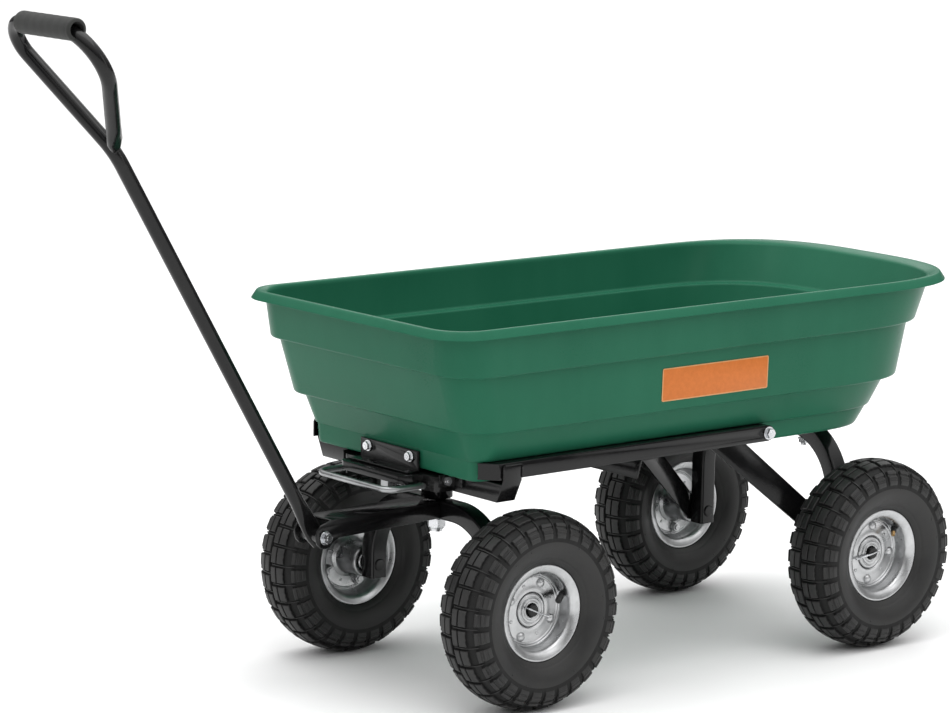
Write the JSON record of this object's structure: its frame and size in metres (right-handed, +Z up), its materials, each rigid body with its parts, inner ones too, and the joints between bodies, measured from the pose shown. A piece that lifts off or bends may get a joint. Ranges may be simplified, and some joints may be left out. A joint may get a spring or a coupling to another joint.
{
  "type": "garden dump cart",
  "caption": "Pull-along garden cart with a stepped plastic tray on a folding steel frame, pneumatic wheels, a steered front axle, a loop handle with a foam grip and a D-ring tray release.",
  "frame": {"origin": "bottom centre of the bounding box, on the ground under the middle of the whole cart with its handle at the resting angle", "axes": "+X forward towards the pull handle, +Y to the cart's left, +Z up"},
  "size_m": [1.4132, 0.487, 0.9044],
  "materials": {
    "poly": "mid green moulded polyethylene with a low sheen",
    "label": null,
    "black_paint": "gloss black enamel on steel",
    "zinc_plate": "bright zinc plate",
    "rim_zinc": "zinc plated pressed steel with drawing marks",
    "tyre": "dull black rubber with a block tread",
    "tube_rubber": "smooth black butyl rubber",
    "foam": "dark grey closed-cell foam"
  },
  "bodies": {
    "front_frame": {"side_rail_left": "black_paint", "side_rail_right": "black_paint", "front_crossmember": "black_paint", "mid_crossmember": "black_paint", "front_plate": "black_paint", "king_plate": "black_paint", "kingpin": "zinc_plate", "kingpin_nut": "zinc_plate", "tip_bolt_left": "zinc_plate", "tip_bolt_right": "zinc_plate", "tip_spacer_left": "zinc_plate", "tip_spacer_right": "zinc_plate", "corner_angle_left": "black_paint", "corner_angle_right": "black_paint", "corner_bolt_left": "zinc_plate", "corner_bolt_right": "zinc_plate", "release_spring": "zinc_plate"},
    "tray_assembly": {"tray": "poly", "label": "label", "tray_bracket": "black_paint", "bracket_bolt_left": "zinc_plate", "bracket_bolt_right": "zinc_plate", "rear_axle_arch": "black_paint", "arch_bolt_left": "zinc_plate", "arch_bolt_right": "zinc_plate", "brace_left": "black_paint", "brace_right": "black_paint", "brace_bolt_left": "zinc_plate", "brace_bolt_right": "zinc_plate", "rear_left_split_pin": "zinc_plate", "rear_right_split_pin": "zinc_plate"},
    "front_axle": {"front_axle_arch": "black_paint", "tongue": "black_paint", "handle_bolt": "zinc_plate", "handle_nut": "zinc_plate", "front_left_split_pin": "zinc_plate", "front_right_split_pin": "zinc_plate"},
    "handle": {"handle_tube": "black_paint", "foam_grip": "foam"},
    "release": {"release_ring": "zinc_plate"},
    "front_left_wheel": {"front_left_tyre": "tyre", "front_left_inner_tube": "tube_rubber", "front_left_rim_outer": "rim_zinc", "front_left_rim_inner": "rim_zinc", "front_left_hub": "rim_zinc"},
    "front_right_wheel": {"front_right_tyre": "tyre", "front_right_inner_tube": "tube_rubber", "front_right_rim_outer": "rim_zinc", "front_right_rim_inner": "rim_zinc", "front_right_hub": "rim_zinc"},
    "rear_left_wheel": {"rear_left_tyre": "tyre", "rear_left_inner_tube": "tube_rubber", "rear_left_rim_outer": "rim_zinc", "rear_left_rim_inner": "rim_zinc", "rear_left_hub": "rim_zinc"},
    "rear_right_wheel": {"rear_right_tyre": "tyre", "rear_right_inner_tube": "tube_rubber", "rear_right_rim_outer": "rim_zinc", "rear_right_rim_inner": "rim_zinc", "rear_right_hub": "rim_zinc"}
  },
  "joints": [
    {"name": "tray_tip", "type": "hinge", "parent": "front_frame", "child": "tray_assembly", "pos_m": [-0.32142, 0, 0.316], "axis": [0, -1, 0], "range_deg": [0, 60]},
    {"name": "steer", "type": "hinge", "parent": "front_frame", "child": "front_axle", "pos_m": [0.08958, 0, 0.2315], "axis": [0, 0, 1], "range_deg": [-45, 45]},
    {"name": "handle_pivot", "type": "hinge", "parent": "front_axle", "child": "handle", "pos_m": [0.29058, 0, 0.2186], "axis": [0, 1, 0], "range_deg": [-20, 73]},
    {"name": "release_pull", "type": "hinge", "parent": "front_frame", "child": "release", "pos_m": [0.17458, 0, 0.282], "axis": [0, -1, 0], "range_deg": [0, 35], "stiffness_Nm_per_rad": 0.3, "springref_deg": -20.05},
    {"name": "front_left_roll", "type": "hinge", "parent": "front_axle", "child": "front_left_wheel", "pos_m": [0.08958, 0.193, 0.13], "axis": [0, 1, 0], "continuous": true},
    {"name": "front_right_roll", "type": "hinge", "parent": "front_axle", "child": "front_right_wheel", "pos_m": [0.08958, -0.193, 0.13], "axis": [0, 1, 0], "continuous": true},
    {"name": "rear_left_roll", "type": "hinge", "parent": "tray_assembly", "child": "rear_left_wheel", "pos_m": [-0.51042, 0.202, 0.13], "axis": [0, 1, 0], "continuous": true},
    {"name": "rear_right_roll", "type": "hinge", "parent": "tray_assembly", "child": "rear_right_wheel", "pos_m": [-0.51042, -0.202, 0.13], "axis": [0, 1, 0], "continuous": true}
  ]
}
